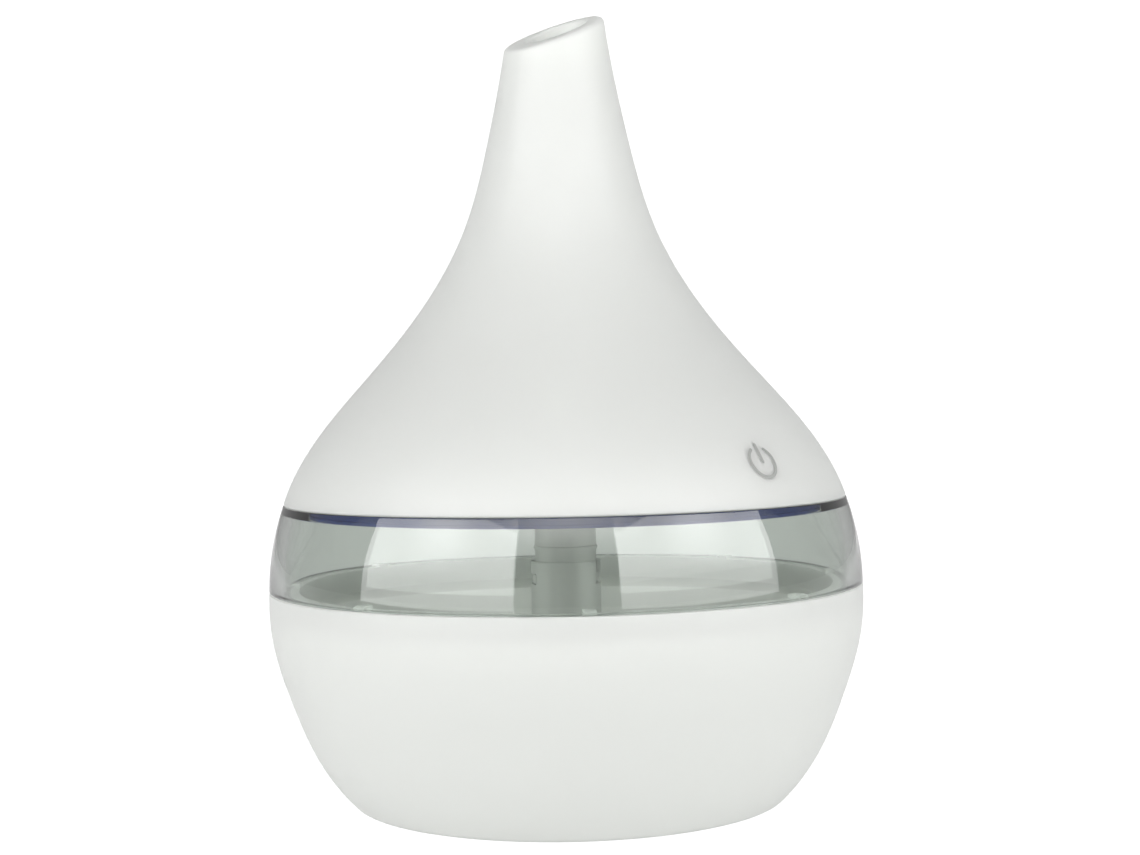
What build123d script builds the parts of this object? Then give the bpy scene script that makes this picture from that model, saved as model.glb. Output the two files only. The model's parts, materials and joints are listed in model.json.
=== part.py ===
from build123d import *
import math
import os

# Teardrop cool mist humidifier. Millimetres, +Z up, origin at the middle of the rest face.
# The touch key faces -Y, the supply socket faces +Y and the high side of the spout faces +X.

# Outer form, as (radius, height) points
BOWL_LINE = ((38.5, 0.4), (45.8, 10.0), (50.0, 20.0), (52.9, 30.0), (53.5, 37.7))
COVER_LINE = (
    (50.7, 54.65),
    (45.4, 65.0),
    (34.5, 78.0),
    (24.1, 91.0),
    (17.1, 104.0),
    (12.8, 119.0),
    (8.7, 141.0),
    (8.3, 144.5),
)
LOWER_SEAM_R, LOWER_SEAM_Z = 53.45, 39.2
UPPER_SEAM_R, UPPER_SEAM_Z = 50.7, 54.65
BAND_MIDDLE = (52.9, 46.0)
SPOUT_MID_Z, SPOUT_TILT = 139.2, 24.1
MOUTH_R, MOUTH_START_Z, MOUTH_FULL_Z = 5.5, 131.0, 134.5
MOUTH_ROUND_OUT, MOUTH_ROUND_IN = 1.0, 0.4
SEAM_GAP = 0.05
EDGE_ROUND = 0.3

# Tank
SHELL_WALL = 2.2
BASE_Z, FLOOR_Z = 0.4, 2.8
BASE_ROUND = 2.5
LIP_R = 48.3
LIP_START_Z, LIP_FULL_Z = 32.0, 34.5
GROOVE_R_IN, GROOVE_R_OUT, GROOVE_Z = 49.9, 51.9, 35.7
SEAL_H = 1.0
FIT = 0.1
TAB_COUNT, TAB_START, TAB_W = 8, 5.0, 2.2
TAB_LINE = (
    (48.4, 38.4),
    (49.8, 38.4),
    (49.8, 39.3),
    (50.65, 39.3),
    (50.65, 39.6),
    (50.1, 39.9),
    (48.4, 39.9),
)
BAND_R_LOW, BAND_R_MIDDLE, BAND_R_TOP = 50.85, 50.45, 48.9
BAND_LAND_Z = 52.6
PAD_COUNT, PAD_START, PAD_R, PAD_RING_R, PAD_H = 4, 45.0, 4.0, 29.0, 1.0

# Core plate, which closes the head from below
PLATE_Z, PLATE_TOP_Z, PLATE_R = 52.9, 54.7, 46.9
UPSTAND_R, UPSTAND_WALL, UPSTAND_Z = 46.0, 1.4, 57.2
GASKET_R = 48.75
GASKET_RIB, GASKET_RIB_Z, GASKET_RIB_H = 0.6, 53.5, 0.6
GASKET_WIPER, GASKET_WIPER_H = 0.15, 0.5
GASKET_DROP = 0.4
STUB_R, STUB_Z = 5.55, 35.8
BORE_R = 4.4
BEAD_R, BEAD_Z, BEAD_H = 5.8, 45.3, 0.7
CHIMNEY_R, SEAT_R, SEAT_Z, SEAT_H = 7.0, 12.6, 64.0, 2.0
RIB_COUNT, RIB_START, RIB_W, RIB_H, RIB_LENGTH, RIB_X = 8, 22.5, 1.2, 1.7, 12.0, 39.0

# Bayonet between the stub and the wick tube
LUG_R, LUG_W, LUG_Z, LUG_H = 6.2, 1.8, 38.9, 1.6
UNLOCK_TURN = 40.0
LUG_ANGLES = (156.0, 336.0)

# Wick column
TUBE_R, TUBE_TOP_Z, TUBE_Z, SOCKET_Z = 6.35, 43.1, 10.0, 35.4
WINDOW_COUNT, WINDOW_START, WINDOW_W, WINDOW_Z, WINDOW_H = 4, 45.0, 3.0, 15.0, 16.0
CAP_Z, PLUG_TOP_Z, DRAIN_R = 8.0, 12.5, 1.5
WICK_R, WICK_Z, WICK_TOP_Z = 4.0, 20.0, 65.65
SPRING_R, SPRING_WIRE_R, SPRING_TURNS = 3.2, 0.3, 4.5

# Mist maker
DISC_R, MESH_Z, MESH_T, MESH_DOME_R, MESH_DOME_H = 8.0, 65.7, 0.2, 3.4, 0.35
PIEZO_T, PIEZO_HOLE_R = 0.6, 4.2
GROMMET_R, GROMMET_HOLE_R, GROMMET_MOUTH_R, GROMMET_TOP_Z = 9.8, 5.5, 6.2, 67.6
RETAINER_R, RETAINER_HOLE_R, RETAINER_TOP_Z = 11.6, 6.6, 68.8
COLLAR_R_IN, COLLAR_Z = 8.4, 70.3
EAR_X, EAR_R, EAR_H = 15.0, 3.0, 2.0
LEAD_NOTCH_W, LEAD_NOTCH_D, LEAD_NOTCH_Z, LEAD_NOTCH_H = 6.0, 4.0, 65.3, 2.0
LEAD_Z, LEAD_DROP_X, LEAD_ANGLES = 66.3, 21.5, (263.0, 277.0)
DUCT_WALL, DUCT_FOOT_R, DUCT_NECK_R, DUCT_TOP_Z = 1.2, 10.7, 8.6, 127.0
DUCT_TAPER_Z, DUCT_TAPER_TOP_Z = 73.0, 88.0
DUCT_COLLAR_R, DUCT_COLLAR_Z, DUCT_COLLAR_H = 10.4, 116.5, 1.5

# Circuit board
BOARD_Z, BOARD_T, BOARD_R_IN, BOARD_R = 60.0, 1.6, 19.0, 33.5
BOARD_TOP = BOARD_Z + BOARD_T
TONGUE_W, TONGUE_Y = 14.0, 42.0
POST_RING_R, POST_R = 29.0, 2.4
POST_ANGLES = (0.0, 120.0, 240.0)
LIGHT_RING_R, LENS_R = 25.0, 3.0
LIGHT_ANGLES = (60.0, 180.0, 300.0)
WIRE_R = 0.5
CHIP_X, CHIP_W, CHIP_L, CHIP_T, CHIP_STANDOFF = -26.5, 4.0, 10.0, 1.6, 0.15
CHIP_LEADS, CHIP_PITCH, CHIP_LEAD_W, CHIP_LEAD_T = 8, 1.27, 0.42, 0.2
INDUCTOR_R, INDUCTOR_COIL_R, INDUCTOR_FLANGE_T, INDUCTOR_COIL_H = 4.0, 3.1, 0.9, 3.2
INDUCTOR_RING_R, INDUCTOR_ANGLE = 26.0, 45.0
CAPACITOR_RING_R = 26.5
CHIP_PART_L, CHIP_PART_W, CHIP_PART_T, CHIP_PART_RING_R = 2.0, 1.25, 0.6, 27.0
CHIP_PART_ANGLES = (200, 208, 216, 224, 232, 250, 290, 306, 320, 334)
LIGHT_W, LIGHT_T = 3.5, 1.1

# Screws, as (head radius, head height, shank radius, length), and the holes for them
COVER_SCREW = (2.3, 1.4, 1.1, 9.0)
BOARD_SCREW = (1.9, 1.2, 0.9, 4.5)
RETAINER_SCREW = (1.9, 1.2, 0.9, 7.0)
COVER_PILOT_R, COVER_HOLE_R, COVER_HEAD_HOLE_R, COVER_HEAD_DEPTH = 1.15, 1.35, 2.6, 1.6
SMALL_PILOT_R, SMALL_HOLE_R = 0.95, 1.1

# Cover fixings, supply socket and touch key
BOSS_RING_R, BOSS_R, BOSS_Z, BOSS_PAD_R = 37.0, 2.9, 56.2, 3.5
BOSS_ANGLES = (45.0, 135.0, 225.0, 315.0)
SOCKET_W, SOCKET_H, SOCKET_D, SOCKET_FACE_Y = 7.5, 2.6, 6.0, 43.6
SOCKET_WALL, SOCKET_BACK, SOCKET_TAB_Y = 0.3, 1.2, 39.1
PORT_BACK_Y, PORT_FACE_Y = 42.4, 44.6
PORT_W, PORT_H, PORT_CORNER = 12.4, 8.4, 2.0
PORT_WALL_W, PORT_WALL_Z, PORT_WALL_TOP_Z = 17.0, 57.6, 68.2
KEY_Z, KEY_RING_R, KEY_STROKE, KEY_GAP = 62.1, 2.85, 0.55, 33.0
KEY_BAR_LOW, KEY_BAR_HIGH = -0.3, 3.6
KEY_DEPTH, ELECTRODE_R, ELECTRODE_T = 0.6, 6.0, 0.15

CENTRED_UP = (Align.CENTER, Align.CENTER, Align.MIN)


def cylinder(radius, z_low, z_high):
    """Solid cylinder on the Z axis."""
    return Pos(0, 0, z_low) * Cylinder(radius, z_high - z_low, align=CENTRED_UP)


def ring(r_in, r_out, z_low, z_high):
    """Plain ring on the Z axis."""
    return cylinder(r_out, z_low, z_high) - cylinder(r_in, z_low, z_high)


def block(x_size, y_size, z_low, z_high, x=0.0, y=0.0):
    """Box centred on (x, y) between two heights."""
    return Pos(x, y, z_low) * Box(x_size, y_size, z_high - z_low, align=CENTRED_UP)


def around(shape, radius, angle):
    """Copy of a shape moved out by radius along X and turned about Z."""
    return Rot(0, 0, angle) * Pos(radius, 0, 0) * shape


def group(shapes):
    """Separate solids kept together as one node."""
    return Compound(children=[solid for shape in shapes for solid in shape.solids()])


def lathe(*points):
    """Solid turned from a closed outline of (radius, height) corners."""
    outline = Polyline([(r, 0, z) for r, z in points], close=True)
    return revolve(make_face(outline), Axis.Z)


def side_line(points):
    """Smooth line through (radius, height) points."""
    return Spline([(r, 0, z) for r, z in points])


def offset_point(line, share, depth):
    """Point at a share of a side line, moved in from the surface by depth."""
    tangent = line.tangent_at(share)
    return line.position_at(share) + Vector(-tangent.Z, 0, tangent.X) * depth


def offset_line(line, depth, count=13):
    """Side line moved in from the surface by depth."""
    return Spline([offset_point(line, i / (count - 1), depth) for i in range(count)])


def share_at_height(line, z):
    """Share of a rising side line at which it passes a height."""
    low, high = 0.0, 1.0
    for _ in range(30):
        middle = (low + high) / 2
        if line.position_at(middle).Z < z:
            low = middle
        else:
            high = middle
    return low


def filled(line):
    """Solid turned from everything between a side line and the Z axis."""
    start, end = line.position_at(0), line.position_at(1)
    foot = Polyline((start.X, 0, start.Z), (0, 0, start.Z), (0, 0, end.Z), (end.X, 0, end.Z))
    return revolve(make_face([line, foot]), Axis.Z)


def skin(line, shallow, deep):
    """Thin turned shell between two depths below a side line."""
    outer, inner = offset_line(line, shallow), offset_line(line, deep)
    low = Line(outer.position_at(0), inner.position_at(0))
    high = Line(outer.position_at(1), inner.position_at(1))
    return revolve(make_face([outer, high, inner, low]), Axis.Z)


def circle_edges(shape, radius, z, slack=0.02):
    """Circular edges of a shape at one radius and height."""
    return [
        edge
        for edge in shape.edges().filter_by(GeomType.CIRCLE)
        if abs(edge.radius - radius) < slack and abs(edge.center().Z - z) < slack
    ]


def screw(head_r, head_h, shank_r, length):
    """Pan head cross recess screw, head on top, shank down from the origin."""
    body = cylinder(head_r, 0, head_h) + cylinder(shank_r, -length, 0)
    body = fillet(circle_edges(body, head_r, head_h), 0.35 * head_h)
    recess = Pos(0, 0, 0.45 * head_h) * (
        Box(1.3 * head_r, 0.28 * head_r, head_h, align=CENTRED_UP)
        + Box(0.28 * head_r, 1.3 * head_r, head_h, align=CENTRED_UP)
    )
    tip = Pos(0, 0, -length) * Cone(0.01, shank_r, shank_r, align=CENTRED_UP)
    shank_end = cylinder(shank_r, -length, -length + shank_r)
    return body - recess - (shank_end - tip)


def wire_run(points, radius, bend):
    """Round wire along a path of straight runs with tangent arcs between them."""
    path = FilletPolyline(*points, radius=bend)
    return sweep(Plane(path @ 0, z_dir=path % 0) * Circle(radius), path)


# Tank


def bowl_tab():
    """Snap tab on the inner lip, which hooks over the foot of the clear band."""
    face = make_face(Polyline([(x, 0, z) for x, z in TAB_LINE], close=True))
    return extrude(face, TAB_W / 2, dir=(0, 1, 0), both=True)


def lower_bowl():
    side = side_line(BOWL_LINE + ((LOWER_SEAM_R, LOWER_SEAM_Z),))
    bowl = filled(side)
    bowl = fillet(circle_edges(bowl, BOWL_LINE[0][0], BASE_Z), BASE_ROUND)
    bowl = fillet(circle_edges(bowl, LOWER_SEAM_R, LOWER_SEAM_Z), EDGE_ROUND)
    inside = offset_line(side, SHELL_WALL)
    cavity = filled(inside) & cylinder(60, FLOOR_Z, LIP_START_Z)
    wide_r = inside.position_at(share_at_height(inside, LIP_START_Z)).X
    neck = lathe((0, LIP_START_Z), (wide_r, LIP_START_Z), (LIP_R, LIP_FULL_Z), (0, LIP_FULL_Z))
    bowl -= cavity + neck + cylinder(LIP_R, LIP_FULL_Z, LOWER_SEAM_Z)
    bowl -= ring(GROOVE_R_IN, GROOVE_R_OUT, GROOVE_Z, LOWER_SEAM_Z)
    for i in range(TAB_COUNT):
        bowl += Rot(0, 0, TAB_START + 360 * i / TAB_COUNT) * bowl_tab()
    for i in range(PAD_COUNT):
        pocket = cylinder(PAD_R + FIT, BASE_Z, PAD_H)
        bowl -= around(pocket, PAD_RING_R, PAD_START + 360 * i / PAD_COUNT)
    return bowl


def clear_band():
    low_z, top_z = LOWER_SEAM_Z + SEAM_GAP, UPPER_SEAM_Z - SEAM_GAP
    tongue_in, tongue_out = GROOVE_R_IN + FIT, GROOVE_R_OUT - FIT
    tongue_z = GROOVE_Z + SEAL_H
    middle = (BAND_MIDDLE[0], 0, BAND_MIDDLE[1])
    outside = ThreePointArc((LOWER_SEAM_R, 0, low_z), middle, (UPPER_SEAM_R, 0, top_z))
    land = Polyline((UPPER_SEAM_R, 0, top_z), (BAND_R_TOP, 0, top_z), (BAND_R_TOP, 0, BAND_LAND_Z))
    inside_middle = (BAND_R_MIDDLE, 0, BAND_MIDDLE[1])
    inside = ThreePointArc((BAND_R_TOP, 0, BAND_LAND_Z), inside_middle, (BAND_R_LOW, 0, low_z))
    foot = Polyline(
        (BAND_R_LOW, 0, low_z),
        (tongue_in, 0, low_z),
        (tongue_in, 0, tongue_z),
        (tongue_out, 0, tongue_z),
        (tongue_out, 0, low_z),
        (LOWER_SEAM_R, 0, low_z),
    )
    band = revolve(make_face([outside, land, inside, foot]), Axis.Z)
    rims = circle_edges(band, LOWER_SEAM_R, low_z) + circle_edges(band, UPPER_SEAM_R, top_z)
    return fillet(rims, EDGE_ROUND)


def tank_seal():
    return ring(GROOVE_R_IN + FIT, GROOVE_R_OUT - FIT, GROOVE_Z, GROOVE_Z + SEAL_H)


def base_pads():
    pad = cylinder(PAD_R, 0, PAD_H)
    pad = fillet(circle_edges(pad, PAD_R, 0), EDGE_ROUND)
    return group([around(pad, PAD_RING_R, PAD_START + 360 * i / PAD_COUNT) for i in range(PAD_COUNT)])


# Head


def cover_side():
    return side_line(COVER_LINE)


def key_plane():
    """Plane on the cover at the touch key, Z out of the surface and Y up the surface."""
    side = cover_side()
    share = share_at_height(side, KEY_Z)
    point, tangent = side.position_at(share), side.tangent_at(share)
    return Plane((0, -point.X, point.Z), x_dir=(1, 0, 0), z_dir=(0, -tangent.Z, -tangent.X))


def power_symbol():
    """Printed ring and bar, set flush into the cover."""
    start = 90 + KEY_GAP
    arc = CenterArc((0, 0), KEY_RING_R, start, 360 - 2 * KEY_GAP)
    bar = SlotOverall(KEY_BAR_HIGH - KEY_BAR_LOW, KEY_STROKE, rotation=90)
    marks = [SlotArc(arc, KEY_STROKE), Pos(0, (KEY_BAR_LOW + KEY_BAR_HIGH) / 2) * bar]
    ink = skin(cover_side(), 0, KEY_DEPTH)
    prints = [extrude(key_plane() * mark, 3.0, both=True) & ink for mark in marks]
    return group(prints)


def touch_electrode():
    """Copper foil on the inside of the wall behind the symbol."""
    foil = skin(cover_side(), SHELL_WALL, SHELL_WALL + ELECTRODE_T)
    return foil & extrude(key_plane() * Circle(ELECTRODE_R), 8.0, both=True)


def touch_lead():
    plane = key_plane()
    start = plane.origin - plane.z_dir * (SHELL_WALL + ELECTRODE_T / 2)
    points = (
        start,
        start - plane.z_dir * 3.5,
        (0, -38.0, BOARD_TOP + 1.6),
        (0, -32.5, BOARD_TOP + 2.6),
        (0, -30.5, BOARD_TOP - 0.2),
    )
    return wire_run(points, WIRE_R, 1.0)


def port_pocket():
    """Flat-bottomed recess round the supply socket, with its slot through the wall."""
    z = BOARD_TOP + SOCKET_H / 2
    face = Plane((0, PORT_FACE_Y, z), x_dir=(-1, 0, 0), z_dir=(0, 1, 0))
    recess = extrude(face * RectangleRounded(PORT_W, PORT_H, PORT_CORNER), 12)
    slot = extrude(face * RectangleRounded(SOCKET_W + 1.0, SOCKET_H + 0.8, 1.0), 12, both=True)
    return recess + slot


def cover_shell():
    """Cover with its screw posts and the flat wall behind the supply socket."""
    side = cover_side()
    inner_half = filled(offset_line(side, SHELL_WALL / 2))
    shell = skin(side, 0, SHELL_WALL)
    post = cylinder(BOSS_R, BOSS_Z, COVER_LINE[-1][1])
    port_wall = block(PORT_WALL_W, 6, PORT_WALL_Z, PORT_WALL_TOP_Z, y=PORT_BACK_Y + 3)
    for angle in BOSS_ANGLES:
        shell += around(post, BOSS_RING_R, angle) & inner_half
    return shell + (port_wall & inner_half)


def mouth_lip():
    """Thicker wall of the neck round the spout's mouth, which eases in from the wall below."""
    inside, top_z = offset_line(cover_side(), SHELL_WALL), COVER_LINE[-1][1]
    wide_r = inside.position_at(share_at_height(inside, MOUTH_START_Z)).X
    wall = filled(offset_line(cover_side(), SHELL_WALL / 2))
    wall = wall & cylinder(2 * wide_r, MOUTH_START_Z, top_z)
    bore = lathe(
        (0, MOUTH_START_Z),
        (wide_r, MOUTH_START_Z),
        (MOUTH_R, MOUTH_FULL_Z),
        (MOUTH_R, top_z),
        (0, top_z),
    )
    return wall - bore


def top_cover():
    pilot = cylinder(COVER_PILOT_R, BOSS_Z, BOSS_Z + COVER_SCREW[3])
    cover = cover_shell() + mouth_lip() - port_pocket()
    for angle in BOSS_ANGLES:
        cover -= around(pilot, BOSS_RING_R, angle)
    cover -= cylinder(70, UPPER_SEAM_Z - 10, UPPER_SEAM_Z)
    above = Box(60, 60, 30, align=CENTRED_UP)
    cover -= Pos(0, 0, SPOUT_MID_Z) * Rot(0, -SPOUT_TILT, 0) * above
    cover = fillet(circle_edges(cover, UPPER_SEAM_R, UPPER_SEAM_Z), EDGE_ROUND)
    for size, place in ((MOUTH_ROUND_IN, -2), (MOUTH_ROUND_OUT, -1)):
        mouth = [edge for edge in cover.edges() if edge.bounding_box().min.Z > MOUTH_FULL_Z - 2]
        cover = fillet(sorted(mouth, key=lambda edge: edge.length)[place], size)
    return cover - power_symbol()


def plate_column():
    """Stub for the wick tube below the plate, and chimney with the disc's seat above it."""
    column = cylinder(STUB_R, STUB_Z, PLATE_Z)
    bead = cylinder(BEAD_R, BEAD_Z, BEAD_Z + BEAD_H)
    column += fillet(circle_edges(bead, BEAD_R, BEAD_Z + BEAD_H), 0.2)
    column += cylinder(CHIMNEY_R, PLATE_TOP_Z, SEAT_Z)
    column += cylinder(SEAT_R, SEAT_Z - SEAT_H, SEAT_Z)
    lug = block(LUG_R, LUG_W, LUG_Z, LUG_Z + LUG_H, x=LUG_R / 2)
    lug = lug & cylinder(LUG_R, LUG_Z, LUG_Z + LUG_H)
    for angle in LUG_ANGLES:
        column += Rot(0, 0, angle) * lug
    for side in (-1, 1):
        column += Pos(side * EAR_X, 0, 0) * cylinder(EAR_R - 0.3, PLATE_TOP_Z, SEAT_Z)
    return column


def plate_posts():
    """Board posts, stiffening ribs and screw pads on top of the plate."""
    post = cylinder(POST_R, PLATE_TOP_Z, BOARD_Z)
    rib = block(RIB_LENGTH, RIB_W, PLATE_TOP_Z, PLATE_TOP_Z + RIB_H, x=RIB_X)
    pad = cylinder(BOSS_PAD_R, PLATE_TOP_Z, BOSS_Z)
    shapes = [around(post, POST_RING_R, angle) for angle in POST_ANGLES]
    shapes += [Rot(0, 0, RIB_START + 360 * i / RIB_COUNT) * rib for i in range(RIB_COUNT)]
    return shapes + [around(pad, BOSS_RING_R, angle) for angle in BOSS_ANGLES]


def plate_holes():
    """Bore for the wick, holes for the lenses and screws, and the gasket's groove."""
    side_pilot = cylinder(SMALL_PILOT_R, SEAT_Z - RETAINER_SCREW[3], SEAT_Z)
    board_pilot = cylinder(SMALL_PILOT_R, BOARD_Z - BOARD_SCREW[3], BOARD_Z)
    screw_hole = cylinder(COVER_HOLE_R, PLATE_Z, BOSS_Z)
    screw_hole += cylinder(COVER_HEAD_HOLE_R, PLATE_Z, PLATE_Z + COVER_HEAD_DEPTH)
    lens_hole = cylinder(LENS_R + FIT, PLATE_Z, PLATE_TOP_Z)
    groove_z = GASKET_RIB_Z - FIT
    groove_top_z = groove_z + GASKET_RIB_H + 2 * FIT
    holes = [cylinder(BORE_R, STUB_Z, SEAT_Z)]
    holes += [Pos(side * EAR_X, 0, 0) * side_pilot for side in (-1, 1)]
    holes += [around(board_pilot, POST_RING_R, angle) for angle in POST_ANGLES]
    holes += [around(screw_hole, BOSS_RING_R, angle) for angle in BOSS_ANGLES]
    holes += [around(lens_hole, LIGHT_RING_R, angle) for angle in LIGHT_ANGLES]
    return holes + [ring(PLATE_R - GASKET_RIB - FIT, PLATE_R, groove_z, groove_top_z)]


def core_plate():
    plate = cylinder(PLATE_R, PLATE_Z, PLATE_TOP_Z)
    plate += ring(UPSTAND_R - UPSTAND_WALL, UPSTAND_R, PLATE_TOP_Z, UPSTAND_Z)
    plate += plate_column()
    for shape in plate_posts():
        plate += shape
    for hole in plate_holes():
        plate -= hole
    return plate


def seal_ring():
    """Gasket round the core plate, with two wiping ribs and a rib in the plate's groove."""
    low, high = PLATE_Z - GASKET_DROP, UPPER_SEAM_Z - SEAM_GAP
    band = ring(PLATE_R, GASKET_R - GASKET_WIPER, low, high)
    band += ring(PLATE_R - GASKET_RIB, PLATE_R, GASKET_RIB_Z, GASKET_RIB_Z + GASKET_RIB_H)
    for z in (low, high - GASKET_WIPER_H):
        band += ring(PLATE_R + 0.5, GASKET_R, z, z + GASKET_WIPER_H)
    return band


def light_lenses():
    lens = cylinder(LENS_R, PLATE_Z, PLATE_TOP_Z)
    lens += cylinder(LENS_R + 0.7, PLATE_TOP_Z, PLATE_TOP_Z + 0.8)
    return group([around(lens, LIGHT_RING_R, angle) for angle in LIGHT_ANGLES])


def dome_line(z):
    """Side of the mesh plate's dome, from its crown down to its foot at a height."""
    middle = (MESH_DOME_R / 2, 0, z + 0.75 * MESH_DOME_H)
    return ThreePointArc((0, 0, z + MESH_DOME_H), middle, (MESH_DOME_R, 0, z))


def mesh_plate():
    """Round steel plate with a shallow dome over the wick, where its fine holes are."""
    low, high = MESH_Z, MESH_Z + MESH_T
    corners = ((MESH_DOME_R, low), (DISC_R, low), (DISC_R, high), (MESH_DOME_R, high))
    rim = Polyline([(r, 0, z) for r, z in corners])
    axis = Line((0, 0, low + MESH_DOME_H), (0, 0, high + MESH_DOME_H))
    return revolve(make_face([dome_line(low), rim, dome_line(high), axis]), Axis.Z)


def piezo_ring():
    return ring(PIEZO_HOLE_R, DISC_R, MESH_Z + MESH_T, MESH_Z + MESH_T + PIEZO_T)


def atomizer_grommet():
    """Silicone ring that holds the plate and its ceramic ring in a slot."""
    body = ring(GROMMET_HOLE_R, GROMMET_R, SEAT_Z, GROMMET_TOP_Z)
    body -= cylinder(DISC_R + FIT, MESH_Z, MESH_Z + MESH_T + PIEZO_T)
    return body - cylinder(GROMMET_MOUTH_R, MESH_Z + MESH_T, GROMMET_TOP_Z)


def retainer_ears():
    """Two flat ears with screw holes, which reach in to the middle."""
    top = SEAT_Z + EAR_H
    ear = cylinder(EAR_R, SEAT_Z, top) + block(EAR_X, 2 * EAR_R, SEAT_Z, top, x=-EAR_X / 2)
    ear = Pos(EAR_X, 0, 0) * (ear - cylinder(SMALL_HOLE_R, SEAT_Z, top))
    return ear + Rot(0, 0, 180) * ear


def atomizer_retainer():
    body = cylinder(RETAINER_R, SEAT_Z, RETAINER_TOP_Z) + retainer_ears()
    body -= cylinder(GROMMET_R + FIT, SEAT_Z, GROMMET_TOP_Z)
    body -= cylinder(RETAINER_HOLE_R, GROMMET_TOP_Z, RETAINER_TOP_Z)
    body += ring(COLLAR_R_IN, DUCT_FOOT_R - DUCT_WALL - FIT, RETAINER_TOP_Z, COLLAR_Z)
    notch_top_z = LEAD_NOTCH_Z + LEAD_NOTCH_H
    return body - block(LEAD_NOTCH_W, LEAD_NOTCH_D, LEAD_NOTCH_Z, notch_top_z, y=-RETAINER_R)


def mist_duct():
    """Tube from the retainer up into the neck, with a collar that centres it in the cover."""
    foot_in, neck_in = DUCT_FOOT_R - DUCT_WALL, DUCT_NECK_R - DUCT_WALL
    duct = lathe(
        (foot_in, RETAINER_TOP_Z),
        (DUCT_FOOT_R, RETAINER_TOP_Z),
        (DUCT_FOOT_R, DUCT_TAPER_Z),
        (DUCT_NECK_R, DUCT_TAPER_TOP_Z),
        (DUCT_NECK_R, DUCT_TOP_Z),
        (neck_in, DUCT_TOP_Z),
        (neck_in, DUCT_TAPER_TOP_Z),
        (foot_in, DUCT_TAPER_Z),
    )
    return duct + ring(neck_in, DUCT_COLLAR_R, DUCT_COLLAR_Z, DUCT_COLLAR_Z + DUCT_COLLAR_H)


def disc_leads():
    """Two wires from the disc's mount to the board."""
    points = (
        (GROMMET_R - 0.3, 0, LEAD_Z),
        (17.0, 0, LEAD_Z),
        (LEAD_DROP_X, 0, LEAD_Z - 1.4),
        (LEAD_DROP_X, 0, BOARD_TOP - 0.3),
    )
    wire = wire_run(points, WIRE_R, 1.5)
    return group([Rot(0, 0, angle) * wire for angle in LEAD_ANGLES])


def main_board():
    board = ring(BOARD_R_IN, BOARD_R, BOARD_Z, BOARD_TOP)
    length = TONGUE_Y - 25.0
    board += block(TONGUE_W, length, BOARD_Z, BOARD_TOP, y=TONGUE_Y - length / 2)
    for angle in POST_ANGLES:
        board -= around(cylinder(SMALL_HOLE_R, BOARD_Z, BOARD_TOP), POST_RING_R, angle)
    return board


def jack_tabs():
    """Fixing tab on each side of the supply socket."""
    y = SOCKET_TAB_Y
    tabs = block(SOCKET_W + 1.6, 1.8, BOARD_TOP, BOARD_TOP + 0.4, y=y)
    return tabs - block(SOCKET_W - 2, 4, BOARD_TOP, BOARD_TOP + 1, y=y)


def usb_jack():
    """Five-pin micro supply socket: pressed shell, tongue and two fixing tabs."""
    z = BOARD_TOP + SOCKET_H / 2
    back = Plane((0, SOCKET_FACE_Y - SOCKET_D, z), x_dir=(-1, 0, 0), z_dir=(0, 1, 0))
    profile = chamfer(Rectangle(SOCKET_W, SOCKET_H).vertices().sort_by(Axis.Y)[:2], 0.7)
    shell = extrude(back * profile, SOCKET_D)
    shell -= extrude(back.offset(SOCKET_BACK) * offset(profile, -SOCKET_WALL), SOCKET_D)
    tongue_y = SOCKET_FACE_Y - (SOCKET_D + SOCKET_BACK) / 2
    tongue = block(3.8, SOCKET_D - SOCKET_BACK, z - 0.1, z + 0.5, y=tongue_y)
    return shell + tongue + jack_tabs()


def chip_lead():
    """Lead bent down from the chip's side to the board."""
    foot_z, arm_z = BOARD_TOP, BOARD_TOP + 0.7
    lead = block(1.1, CHIP_LEAD_W, foot_z, foot_z + CHIP_LEAD_T, x=2.7)
    lead += block(CHIP_LEAD_T, CHIP_LEAD_W, foot_z, arm_z + CHIP_LEAD_T, x=2.25)
    return lead + block(0.4, CHIP_LEAD_W, arm_z, arm_z + CHIP_LEAD_T, x=2.1)


def control_chip():
    """Sixteen-lead chip with bent leads down each side."""
    low_z = BOARD_TOP + CHIP_STANDOFF
    body = block(CHIP_W, CHIP_L, low_z, low_z + CHIP_T)
    chip = chamfer(body.edges().group_by(Axis.Z)[-1], 0.25)
    lead = chip_lead()
    for i in range(CHIP_LEADS):
        y = (i - (CHIP_LEADS - 1) / 2) * CHIP_PITCH
        chip += Pos(0, y, 0) * lead
        chip += Pos(0, y, 0) * Rot(0, 0, 180) * lead
    return Pos(CHIP_X, 0, 0) * chip


def boost_inductor():
    """Drum core with its winding between two flanges."""
    top_z = INDUCTOR_FLANGE_T + INDUCTOR_COIL_H
    flange = cylinder(INDUCTOR_R, 0, INDUCTOR_FLANGE_T)
    coil = flange + cylinder(INDUCTOR_COIL_R, INDUCTOR_FLANGE_T, top_z) + Pos(0, 0, top_z) * flange
    return around(Pos(0, 0, BOARD_TOP) * coil, INDUCTOR_RING_R, INDUCTOR_ANGLE)


def capacitor(radius, height):
    """Electrolytic can with a rolled groove near its foot."""
    can = cylinder(radius, 0, height)
    can = fillet(circle_edges(can, radius, height), 0.4)
    return Pos(0, 0, BOARD_TOP) * (can - ring(radius - 0.25, radius, 1.0, 1.6))


def capacitors():
    large, small = capacitor(3.1, 7.5), capacitor(2.5, 7.0)
    return group([around(large, CAPACITOR_RING_R, 140), around(small, CAPACITOR_RING_R, 112)])


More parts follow.
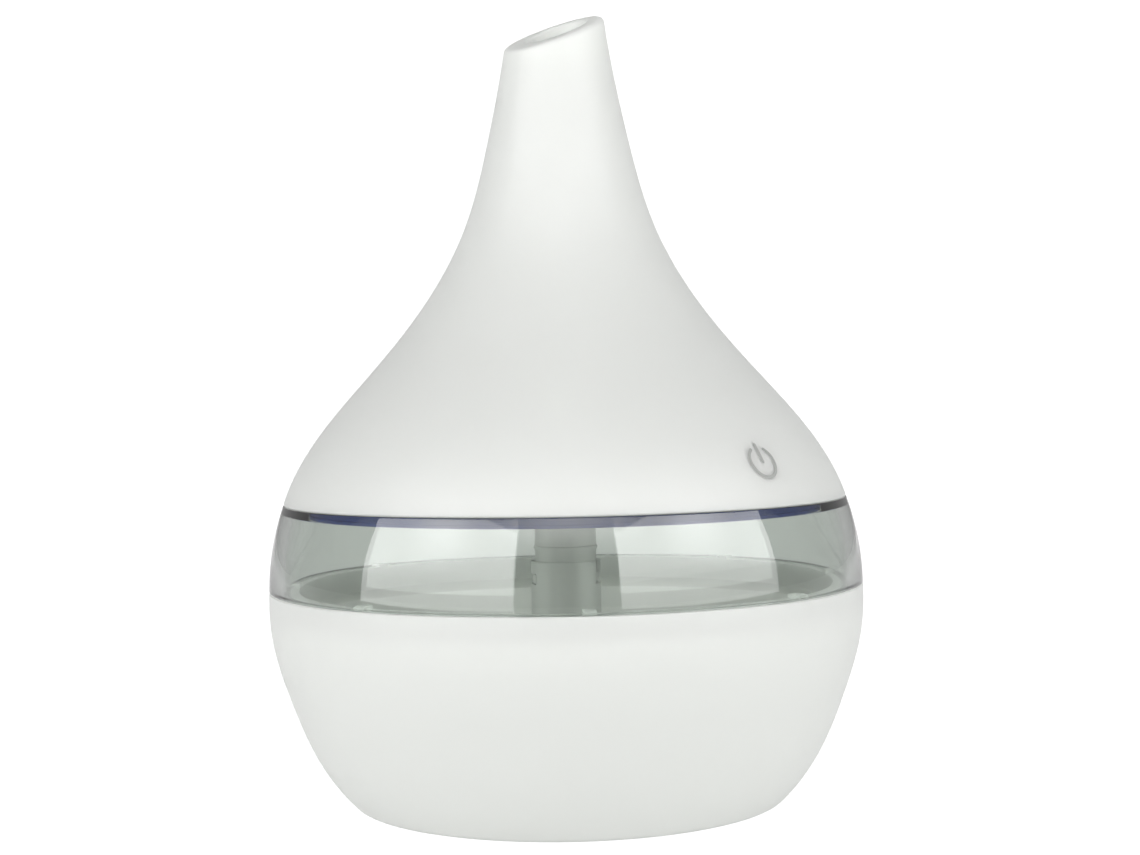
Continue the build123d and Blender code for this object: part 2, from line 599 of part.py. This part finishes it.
def chip_parts():
    """Small surface mounted resistors and capacitors."""
    piece = block(CHIP_PART_L, CHIP_PART_W, BOARD_TOP, BOARD_TOP + CHIP_PART_T)
    return group([around(piece, CHIP_PART_RING_R, angle) for angle in CHIP_PART_ANGLES])


def status_lights():
    """Surface mounted lights under the board, one over each lens."""
    low_z = BOARD_Z - LIGHT_T
    window = Pos(0, 0, low_z) * Cone(1.3, 1.0, 0.4, align=CENTRED_UP)
    light = block(LIGHT_W, LIGHT_W, low_z, BOARD_Z) - window
    return group([around(light, LIGHT_RING_R, angle) for angle in LIGHT_ANGLES])


def cover_screws():
    one = Pos(0, 0, PLATE_Z + COVER_HEAD_DEPTH) * Rot(180, 0, 0) * screw(*COVER_SCREW)
    return group([around(one, BOSS_RING_R, angle) for angle in BOSS_ANGLES])


def board_screws():
    one = Pos(0, 0, BOARD_TOP) * screw(*BOARD_SCREW)
    return group([around(one, POST_RING_R, angle) for angle in POST_ANGLES])


def retainer_screws():
    one = Pos(0, 0, SEAT_Z + EAR_H) * screw(*RETAINER_SCREW)
    return group([Pos(side * EAR_X, 0, 0) * one for side in (-1, 1)])


# Wick column


def bayonet_slot():
    """L-shaped way for one lug, closed at the locked end and open at the tube's top."""
    half = math.degrees(LUG_W / 2 / STUB_R) + 3.0
    low, high = LUG_Z - 0.2, LUG_Z + LUG_H + 0.2
    section = Pos(TUBE_R, 0, (low + high) / 2) * Rot(90, 0, 0) * Rectangle(2.0, high - low)
    run = Rot(0, 0, half) * revolve(section, Axis.Z, revolution_arc=-(UNLOCK_TURN + 2 * half))
    entry = Rot(0, 0, -UNLOCK_TURN) * block(2.0, LUG_W + 0.6, low, TUBE_TOP_Z, x=TUBE_R)
    return run + entry


def wick_tube():
    tube = ring(BORE_R, TUBE_R, TUBE_Z, TUBE_TOP_Z) - cylinder(STUB_R + FIT, SOCKET_Z, TUBE_TOP_Z)
    for angle in LUG_ANGLES:
        tube -= Rot(0, 0, angle) * bayonet_slot()
    window = block(8.0, WINDOW_W, WINDOW_Z, WINDOW_Z + WINDOW_H, x=TUBE_R)
    for i in range(WINDOW_COUNT):
        tube -= Rot(0, 0, WINDOW_START + 360 * i / WINDOW_COUNT) * window
    return tube


def tube_cap():
    cap = cylinder(TUBE_R, CAP_Z, TUBE_Z) + cylinder(BORE_R - FIT, TUBE_Z, PLUG_TOP_Z)
    cap = fillet(circle_edges(cap, TUBE_R, CAP_Z), 0.6)
    return cap - cylinder(DRAIN_R, CAP_Z, PLUG_TOP_Z)


def wick_spring():
    low, high = PLUG_TOP_Z + SPRING_WIRE_R, WICK_Z - SPRING_WIRE_R - SEAM_GAP
    path = Pos(0, 0, low) * Helix((high - low) / SPRING_TURNS, high - low, SPRING_R)
    return sweep(Plane(path @ 0, z_dir=path % 0) * Circle(SPRING_WIRE_R), path, is_frenet=True)


def cotton_wick():
    wick = cylinder(WICK_R, WICK_Z, WICK_TOP_Z)
    return fillet(circle_edges(wick, WICK_R, WICK_Z) + circle_edges(wick, WICK_R, WICK_TOP_Z), 0.5)


NODES = (
    lower_bowl,
    clear_band,
    tank_seal,
    base_pads,
    top_cover,
    power_symbol,
    touch_electrode,
    touch_lead,
    core_plate,
    seal_ring,
    light_lenses,
    mist_duct,
    mesh_plate,
    piezo_ring,
    atomizer_grommet,
    atomizer_retainer,
    disc_leads,
    main_board,
    usb_jack,
    control_chip,
    boost_inductor,
    capacitors,
    chip_parts,
    status_lights,
    cover_screws,
    board_screws,
    retainer_screws,
    wick_tube,
    tube_cap,
    wick_spring,
    cotton_wick,
)

os.makedirs("parts", exist_ok=True)
for make in NODES:
    export_step(make(), f"parts/{make.__name__}.step")
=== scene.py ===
import json
import math

import bpy
from mathutils import Matrix, Vector


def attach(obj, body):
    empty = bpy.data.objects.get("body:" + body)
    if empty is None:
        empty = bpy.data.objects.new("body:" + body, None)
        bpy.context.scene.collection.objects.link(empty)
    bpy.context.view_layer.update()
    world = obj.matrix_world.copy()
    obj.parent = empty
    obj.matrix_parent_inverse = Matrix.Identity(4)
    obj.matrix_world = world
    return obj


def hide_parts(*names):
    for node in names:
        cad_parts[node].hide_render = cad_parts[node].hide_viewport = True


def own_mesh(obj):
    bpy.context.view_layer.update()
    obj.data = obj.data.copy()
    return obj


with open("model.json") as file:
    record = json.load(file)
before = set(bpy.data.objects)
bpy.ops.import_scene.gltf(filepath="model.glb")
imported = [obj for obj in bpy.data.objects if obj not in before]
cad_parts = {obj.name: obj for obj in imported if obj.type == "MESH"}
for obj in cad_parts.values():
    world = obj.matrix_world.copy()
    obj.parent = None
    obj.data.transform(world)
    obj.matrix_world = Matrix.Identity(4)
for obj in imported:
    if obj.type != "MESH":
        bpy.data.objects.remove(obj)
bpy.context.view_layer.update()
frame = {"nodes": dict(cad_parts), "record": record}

# Moulded plastic: waves per metre of its slow change in colour and in gloss
COLOUR_SCALE, GLOSS_SCALE = 90.0, 260.0

# Camera: azimuth 0 looks along +Y, distances are from the object's axis
CAMERA_AZIMUTH = -44.1
CAMERA_DISTANCE = 0.3733
CAMERA_HEIGHT = 0.0764
CAMERA_PITCH, CAMERA_YAW, CAMERA_ROLL = 1.363, 0.187, 1.066
CAMERA_LENS, CAMERA_SENSOR = 64.95, 36.0

# Studio: turns in degrees from the camera's azimuth, heights and distances in metres,
# radiances in units of an even studio that shows white paper as white
SOFTBOX_DISTANCE = 0.75
SOFTBOX_TURNS = {"left": -49.4, "right": 51.5}
SOFTBOX_WIDTHS = {"left": 0.89, "right": 0.94}
# Rows of each softbox: name, lowest and highest edge, radiance of the left and of the right one.
# The crown shows only in reflections.
SOFTBOX_ROWS = (
    ("low", 0.02, 0.15, 2.6, 2.3),
    ("middle", 0.15, 0.50, 3.05, 2.95),
    ("top", 0.50, 0.95, 0.17, 0.05),
    ("crown", 0.50, 0.74, 3.0, 2.8),
)
# Soft glow in the middle of each softbox and one over the camera, seen only in reflections
GLOW_TURNS = {"left": -49.0, "right": 52.0}
GLOW_HEIGHT, GLOW_SIZE, GLOW_RADIANCE = 0.42, 0.56, 2.0
CEILING_HEIGHT, CEILING_DISTANCE = 0.62, 0.70
CEILING_WIDTH, CEILING_DEPTH, CEILING_RADIANCE, CEILING_AIM = 1.25, 0.75, 4.2, 0.05
BACK_LIGHT_TURN, BACK_LIGHT_DISTANCE, BACK_LIGHT_HEIGHT = 178.0, 1.1, 0.45
BACK_LIGHT_SIZE, BACK_LIGHT_RADIANCE, BACK_LIGHT_AIM = 1.1, 1.8, 0.07
# Studio as it lights the object, as it shows through the clear band and as the camera sees it
WORLD_LEVEL = 0.33
FLOOR_GLOW = 0.29
THROUGH_LEVEL = 0.56
BACKDROP_LEVEL = 1.15
FLOOR_ALBEDO = 0.5
FLOOR_SIZE = 3.0


# Materials


class Paint:
    """A material being built: short calls for the nodes that every finish here needs."""

    def __init__(self, name):
        self.material = bpy.data.materials.new(name)
        self.material.use_nodes = True
        self.nodes = self.material.node_tree.nodes
        self.links = self.material.node_tree.links
        self.shader = self.nodes["Principled BSDF"]
        self.output = self.nodes["Material Output"]
        self.place = self.nodes.new("ShaderNodeTexCoord").outputs["Object"]

    def set(self, **values):
        for name, value in values.items():
            self.shader.inputs[name.replace("_", " ")].default_value = value
        return self

    def noise(self, scale, detail=3.0, stretch=None):
        """Noise with a scale in waves per metre, stretched along one axis if asked."""
        texture = self.nodes.new("ShaderNodeTexNoise")
        texture.inputs["Scale"].default_value = scale
        texture.inputs["Detail"].default_value = detail
        place = self.place
        if stretch is not None:
            mapping = self.nodes.new("ShaderNodeMapping")
            mapping.inputs["Scale"].default_value = stretch
            self.links.new(place, mapping.inputs["Vector"])
            place = mapping.outputs["Vector"]
        self.links.new(place, texture.inputs["Vector"])
        return texture.outputs["Fac"]

    def spread(self, value, low, high):
        """Maps the middle of a noise, 0.3 to 0.7, onto low to high."""
        ramp = self.nodes.new("ShaderNodeMapRange")
        ramp.inputs["From Min"].default_value = 0.3
        ramp.inputs["From Max"].default_value = 0.7
        ramp.inputs["To Min"].default_value = low
        ramp.inputs["To Max"].default_value = high
        self.links.new(value, ramp.inputs["Value"])
        return ramp.outputs["Result"]

    def mix(self, value, first, second):
        """Colour between two others, by value."""
        mixer = self.nodes.new("ShaderNodeMix")
        mixer.data_type = "RGBA"
        self.links.new(value, mixer.inputs["Factor"])
        for socket, colour in (("A", first), ("B", second)):
            target = next(s for s in mixer.inputs if s.name == socket and s.type == "RGBA")
            if isinstance(colour, bpy.types.NodeSocket):
                self.links.new(colour, target)
            else:
                target.default_value = (*colour, 1.0)
        return next(s for s in mixer.outputs if s.type == "RGBA")

    def colour(self, value, first, second):
        self.links.new(self.mix(value, first, second), self.shader.inputs["Base Color"])
        return self

    def roughness(self, value, low, high):
        self.links.new(self.spread(value, low, high), self.shader.inputs["Roughness"])
        return self

    def bump(self, value, depth, strength=1.0):
        """Bump with its depth in metres."""
        bump = self.nodes.new("ShaderNodeBump")
        bump.inputs["Distance"].default_value = depth
        bump.inputs["Strength"].default_value = strength
        self.links.new(value, bump.inputs["Height"])
        self.links.new(bump.outputs["Normal"], self.shader.inputs["Normal"])
        return self


def moulded(name, colour, rough, vary=0.02, grain=2500.0, depth=4e-6, **more):
    """Moulded plastic: fine grain, slow change of gloss and a trace of change in colour."""
    paint = Paint(name).set(**more)
    dark = tuple(c * (1 - vary) for c in colour)
    paint.colour(paint.noise(COLOUR_SCALE), dark, colour)
    paint.roughness(paint.noise(GLOSS_SCALE), rough - 0.04, rough + 0.04)
    return paint.bump(paint.noise(grain, 4.0), depth).material


def white_shell():
    """Thin moulded walls that let a little light through to what they enclose."""
    depth = {"Subsurface_Weight": 0.7, "Subsurface_Scale": 0.006}
    depth["Subsurface_Radius"] = (1.0, 1.0, 1.0)
    return moulded("white_shell", (0.81, 0.83, 0.795), 0.42, vary=0.012, IOR=1.5, **depth)


def clear_plastic(name, tint, rough=0.03):
    """Clear moulded plastic that lets lamps through to what it encloses."""
    paint = Paint(name).set(IOR=1.57, Transmission_Weight=1.0)
    paint.set(Coat_Weight=0.4, Coat_Roughness=0.02)
    paint.colour(paint.noise(60.0), tuple(c * 0.985 for c in tint), tint)
    paint.roughness(paint.noise(300.0), rough * 0.5, rough * 1.3)
    path = paint.nodes.new("ShaderNodeLightPath")
    through = paint.nodes.new("ShaderNodeBsdfTransparent")
    through.inputs["Color"].default_value = (*(c**0.5 for c in tint), 1.0)
    mixer = paint.nodes.new("ShaderNodeMixShader")
    paint.links.new(path.outputs["Is Shadow Ray"], mixer.inputs[0])
    paint.links.new(paint.shader.outputs[0], mixer.inputs[1])
    paint.links.new(through.outputs[0], mixer.inputs[2])
    paint.links.new(mixer.outputs[0], paint.output.inputs["Surface"])
    return paint.material


def silicone(name, colour, rough=0.5):
    return moulded(name, colour, rough, vary=0.10, grain=4000.0, depth=6e-6, IOR=1.41)


def metal(name, colour, rough, stretch=(1.0, 1.0, 12.0), **more):
    """Metal with fine marks drawn out along one axis."""
    paint = Paint(name).set(Metallic=1.0, **more)
    marks = paint.noise(1500.0, 4.0, stretch=stretch)
    paint.colour(marks, tuple(c * 0.88 for c in colour), colour)
    paint.roughness(marks, rough - 0.07, rough + 0.07)
    return paint.bump(marks, 3e-6).material


def pierced_mesh():
    """Steel with the fine regular holes of the mist plate in its middle, each hole painted dark as
    painted shade.
    """
    paint = Paint("pierced_mesh").set(Metallic=1.0)
    cells = paint.nodes.new("ShaderNodeTexVoronoi")
    cells.inputs["Scale"].default_value = 5200.0
    cells.inputs["Randomness"].default_value = 0.15
    paint.links.new(paint.place, cells.inputs["Vector"])
    shaded_hole_mask = paint.spread(cells.outputs["Distance"], 0.0, 1.0)
    # Near black in the holes is painted shade inside each hole; the same mask also dents them by
    # bump
    paint.colour(shaded_hole_mask, (0.10, 0.10, 0.11), (0.66, 0.66, 0.67))
    paint.roughness(paint.noise(1800.0), 0.22, 0.36)
    return paint.bump(shaded_hole_mask, 1.5e-5).material


def circuit_board():
    """Green solder resist with paler copper runs under it and a woven edge."""
    paint = Paint("circuit_board")
    bricks = paint.nodes.new("ShaderNodeTexBrick")
    bricks.inputs["Scale"].default_value = 160.0
    bricks.inputs["Mortar Size"].default_value = 0.035
    bricks.inputs["Color1"].default_value = (0.012, 0.10, 0.035, 1)
    bricks.inputs["Color2"].default_value = (0.018, 0.13, 0.045, 1)
    bricks.inputs["Mortar"].default_value = (0.035, 0.22, 0.075, 1)
    paint.links.new(paint.place, bricks.inputs["Vector"])
    paint.links.new(bricks.outputs["Color"], paint.shader.inputs["Base Color"])
    paint.roughness(paint.noise(500.0), 0.28, 0.42)
    return paint.bump(bricks.outputs["Fac"], 1.2e-5).material


def cotton():
    """Pressed cotton fibre, drawn out along the rod."""
    paint = Paint("cotton").set(Sheen_Weight=0.4, Sheen_Roughness=0.5)
    fibres = paint.noise(2600.0, 6.0, stretch=(1.0, 1.0, 0.18))
    paint.colour(fibres, (0.62, 0.58, 0.49), (0.86, 0.84, 0.78))
    paint.roughness(fibres, 0.85, 0.98)
    return paint.bump(fibres, 9e-5).material


def ceramic():
    paint = Paint("piezo_ceramic")
    paint.colour(paint.noise(700.0), (0.55, 0.48, 0.34), (0.66, 0.60, 0.46))
    paint.roughness(paint.noise(1200.0), 0.45, 0.62)
    return paint.bump(paint.noise(3500.0), 8e-6).material


def light_resin():
    """Yellow phosphor window in a white body."""
    paint = Paint("light_resin")
    paint.colour(paint.noise(1500.0), (0.75, 0.68, 0.30), (0.86, 0.82, 0.55))
    paint.roughness(paint.noise(2000.0), 0.25, 0.40)
    return paint.bump(paint.noise(5000.0), 4e-6).material


def make_finishes():
    """One material for each of the record's material slots."""
    return {
        "white_shell": white_shell(),
        "clear_plastic": clear_plastic("clear_plastic", (0.87, 0.915, 0.875)),
        "white_silicone": silicone("white_silicone", (0.74, 0.74, 0.71)),
        "pad_rubber": silicone("pad_rubber", (0.32, 0.33, 0.34), 0.65),
        "grey_ink": moulded("grey_ink", (0.40, 0.41, 0.395), 0.5, grain=6000.0, depth=3e-6),
        "copper_foil": metal("copper_foil", (0.80, 0.42, 0.26), 0.35),
        "wire_insulation": moulded("wire_insulation", (0.45, 0.03, 0.025), 0.38, vary=0.08),
        "inner_plastic": moulded("inner_plastic", (0.70, 0.71, 0.69), 0.5, vary=0.03),
        "navy_silicone": silicone("navy_silicone", (0.016, 0.030, 0.135), 0.42),
        "clear_lens": clear_plastic("clear_lens", (0.93, 0.94, 0.94), 0.12),
        "steel": metal("steel", (0.60, 0.60, 0.61), 0.27),
        "piezo_ceramic": ceramic(),
        "board_laminate": circuit_board(),
        "chip_black": moulded("chip_black", (0.018, 0.018, 0.02), 0.55, vary=0.2, grain=9000.0),
        "ferrite": moulded("ferrite", (0.045, 0.042, 0.04), 0.6, vary=0.2, grain=6000.0),
        "can_aluminium": metal("can_aluminium", (0.70, 0.71, 0.72), 0.3),
        "light_resin": light_resin(),
        "cotton": cotton(),
    }


def paint_nodes(finishes):
    """Gives every CAD node the material of its slot."""
    for entry in frame["record"]["subparts"]:
        piece = frame["nodes"][entry["node"]]
        give(piece, finishes[entry["material_slot"]])
        for polygon in piece.data.polygons:
            polygon.use_smooth = True
    give(frame["nodes"]["mesh_plate"], pierced_mesh())


def give(piece, material):
    piece.data.materials.clear()
    piece.data.materials.append(material)


def add_press_spring():
    """Spring under the wick, as its own copy of the node's mesh carried by the wick holder, in
    place of the hidden rigid node.
    """
    node = frame["nodes"]["wick_spring"]
    spring = bpy.data.objects.new("press_spring", node.data.copy())
    bpy.context.collection.objects.link(spring)
    spring.matrix_world = node.matrix_world.copy()
    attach(spring, "wick_holder")
    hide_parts("wick_spring")
    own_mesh(spring)


# Studio


def toward(turn, distance, height):
    """Point at a turn from the camera's azimuth, as seen from above."""
    angle = math.radians(CAMERA_AZIMUTH + turn)
    return Vector((math.sin(angle) * distance, -math.cos(angle) * distance, height))


def add_camera():
    data = bpy.data.cameras.new("camera")
    data.lens = CAMERA_LENS
    data.sensor_width = CAMERA_SENSOR
    data.clip_start = 0.01
    camera = bpy.data.objects.new("camera", data)
    bpy.context.collection.objects.link(camera)
    turn = Matrix.Rotation(math.radians(CAMERA_AZIMUTH - CAMERA_YAW), 4, "Z")
    tilt = Matrix.Rotation(math.radians(90.0 - CAMERA_PITCH), 4, "X")
    roll = Matrix.Rotation(math.radians(-CAMERA_ROLL), 4, "Z")
    place = Matrix.Translation(toward(0.0, CAMERA_DISTANCE, CAMERA_HEIGHT))
    camera.matrix_world = place @ turn @ tilt @ roll
    bpy.context.scene.camera = camera


def add_panel_light(name, place, target, width, height, radiance):
    """Rectangular light of an even radiance, facing a point."""
    data = bpy.data.lights.new(name, "AREA")
    data.shape = "RECTANGLE"
    data.size, data.size_y = width, height
    data.energy = radiance * math.pi * width * height
    light = bpy.data.objects.new(name, data)
    bpy.context.collection.objects.link(light)
    light.location = place
    light.rotation_euler = (Vector(target) - place).to_track_quat("-Z", "Y").to_euler()
    return light


def make_glow(light):
    """Turns a panel into a soft glow that fades out to its rim and shows only in reflections."""
    light.visible_diffuse = False
    light.visible_transmission = False
    light.data.use_nodes = True
    nodes, links = light.data.node_tree.nodes, light.data.node_tree.links
    place = nodes.new("ShaderNodeNewGeometry").outputs["Parametric"]
    span, fade = nodes.new("ShaderNodeVectorMath"), nodes.new("ShaderNodeMapRange")
    span.operation = "DISTANCE"
    span.inputs[1].default_value = (0.5, 0.5, 0.0)
    fade.interpolation_type = "SMOOTHSTEP"
    fade.inputs["From Max"].default_value = 0.5
    fade.inputs["To Min"].default_value = 1.0
    fade.inputs["To Max"].default_value = 0.0
    links.new(place, span.inputs[0])
    links.new(span.outputs["Value"], fade.inputs["Value"])
    links.new(fade.outputs["Result"], nodes["Emission"].inputs["Strength"])


def add_softbox(side, turn):
    """Rows of one softbox, with the glow in its middle."""
    for name, low, high, left, right in SOFTBOX_ROWS:
        place = toward(turn, SOFTBOX_DISTANCE, (low + high) / 2)
        level = Vector((0.0, 0.0, place.z))
        radiance = left if side == "left" else right
        size = (SOFTBOX_WIDTHS[side], high - low)
        light = add_panel_light(f"{side}_{name}", place, level, *size, radiance)
        light.visible_diffuse = name != "crown"
    place = toward(GLOW_TURNS[side], SOFTBOX_DISTANCE, GLOW_HEIGHT)
    level = Vector((0.0, 0.0, place.z))
    make_glow(add_panel_light(f"{side}_glow", place, level, GLOW_SIZE, GLOW_SIZE, GLOW_RADIANCE))


def add_lights():
    for side, turn in SOFTBOX_TURNS.items():
        add_softbox(side, turn)
    place, target = toward(0.0, CEILING_DISTANCE, CEILING_HEIGHT), (0, 0, CEILING_AIM)
    size = (CEILING_WIDTH, CEILING_DEPTH)
    make_glow(add_panel_light("front_ceiling", place, target, *size, CEILING_RADIANCE))
    place = toward(BACK_LIGHT_TURN, BACK_LIGHT_DISTANCE, BACK_LIGHT_HEIGHT)
    target, size = (0, 0, BACK_LIGHT_AIM), (BACK_LIGHT_SIZE, BACK_LIGHT_SIZE)
    back = add_panel_light("back_light", place, target, *size, BACK_LIGHT_RADIANCE)
    back.visible_transmission = False
    back.visible_glossy = False


def split_by_ray(nodes, links, seen, felt, through):
    """Keeps apart what the camera sees, what lights the object and what shows through the band."""
    path = nodes.new("ShaderNodeLightPath")
    result = felt
    for kind, shader in (("Is Transmission Ray", through), ("Is Camera Ray", seen)):
        mixer = nodes.new("ShaderNodeMixShader")
        links.new(path.outputs[kind], mixer.inputs[0])
        links.new(result, mixer.inputs[1])
        links.new(shader, mixer.inputs[2])
        result = mixer.outputs[0]
    return result


def add_world():
    world = bpy.data.worlds.new("studio")
    bpy.context.scene.world = world
    world.use_nodes = True
    nodes, links = world.node_tree.nodes, world.node_tree.links
    nodes.clear()
    levels = []
    for strength in (BACKDROP_LEVEL, WORLD_LEVEL, THROUGH_LEVEL):
        background = nodes.new("ShaderNodeBackground")
        background.inputs["Color"].default_value = (1.0, 1.0, 1.0, 1.0)
        background.inputs["Strength"].default_value = strength
        levels.append(background.outputs[0])
    output = nodes.new("ShaderNodeOutputWorld")
    links.new(split_by_ray(nodes, links, *levels), output.inputs["Surface"])


def add_floor():
    """Plain pale floor, over-exposed as the camera sees it."""
    bpy.ops.mesh.primitive_plane_add(size=2 * FLOOR_SIZE)
    floor = bpy.context.object
    floor.name = "studio_floor"
    material = bpy.data.materials.new("pale_floor")
    material.use_nodes = True
    nodes, links = material.node_tree.nodes, material.node_tree.links
    nodes.clear()
    paper, glow = nodes.new("ShaderNodeBsdfDiffuse"), nodes.new("ShaderNodeEmission")
    paper.inputs["Color"].default_value = (FLOOR_ALBEDO, FLOOR_ALBEDO, FLOOR_ALBEDO, 1.0)
    glow.inputs["Strength"].default_value = FLOOR_GLOW
    felt, seen = nodes.new("ShaderNodeAddShader"), nodes.new("ShaderNodeEmission")
    links.new(paper.outputs[0], felt.inputs[0])
    links.new(glow.outputs[0], felt.inputs[1])
    seen.inputs["Strength"].default_value = BACKDROP_LEVEL
    through = nodes.new("ShaderNodeEmission")
    through.inputs["Strength"].default_value = THROUGH_LEVEL
    output = nodes.new("ShaderNodeOutputMaterial")
    shaders = [node.outputs[0] for node in (seen, felt, through)]
    links.new(split_by_ray(nodes, links, *shaders), output.inputs["Surface"])
    give(floor, material)


add_camera()
add_world()
add_floor()
add_lights()
paint_nodes(make_finishes())
add_press_spring()
bpy.context.scene.view_settings.view_transform = "Standard"
